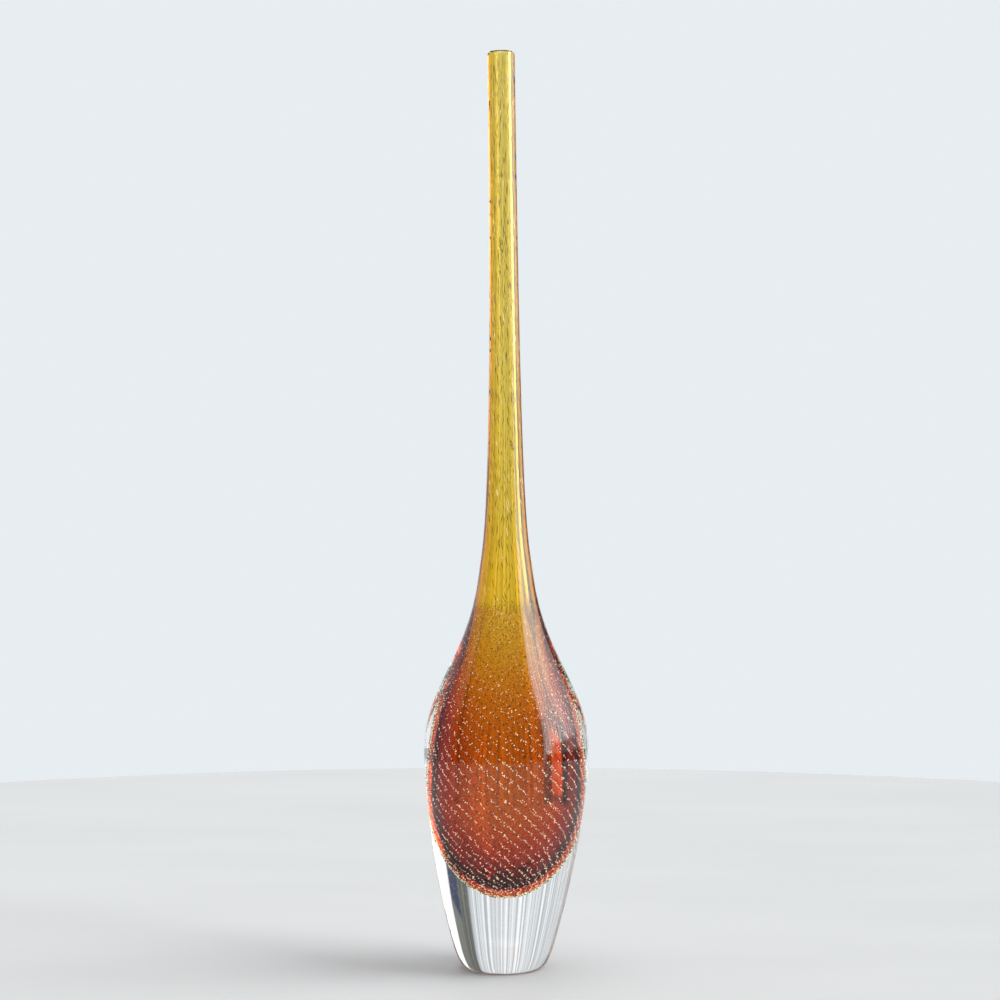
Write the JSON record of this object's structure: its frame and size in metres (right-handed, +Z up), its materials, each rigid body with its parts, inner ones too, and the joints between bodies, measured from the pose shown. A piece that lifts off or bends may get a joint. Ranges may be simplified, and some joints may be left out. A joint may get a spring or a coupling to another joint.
{
  "type": "glass bud vase",
  "caption": "Tall hand-blown bud vase: a long thin neck on an egg-shaped body, amber glass with spiral bubble rows cased in clear glass that ends in a heavy clear foot.",
  "frame": {"origin": "on the plane that the flat foot stands on, under the middle of the body", "axes": "+Z up through the body towards the mouth; -X is the side to which the neck leans and the foot sits"},
  "size_m": [0.1046, 0.1046, 0.58],
  "materials": {
    "clear_glass": "polished, clear with a faint cool tint",
    "bubble_glass": "clear, full of small air bubbles in spiral rows",
    "amber_glass": "polished, transparent yellow-amber",
    "ruby_glass": "transparent red-brown"
  },
  "bodies": {
    "root": {"clear_casing": "clear_glass", "bubble_veil": "bubble_glass", "amber_layer": "amber_glass", "ruby_lining": "ruby_glass"}
  },
  "joints": []
}
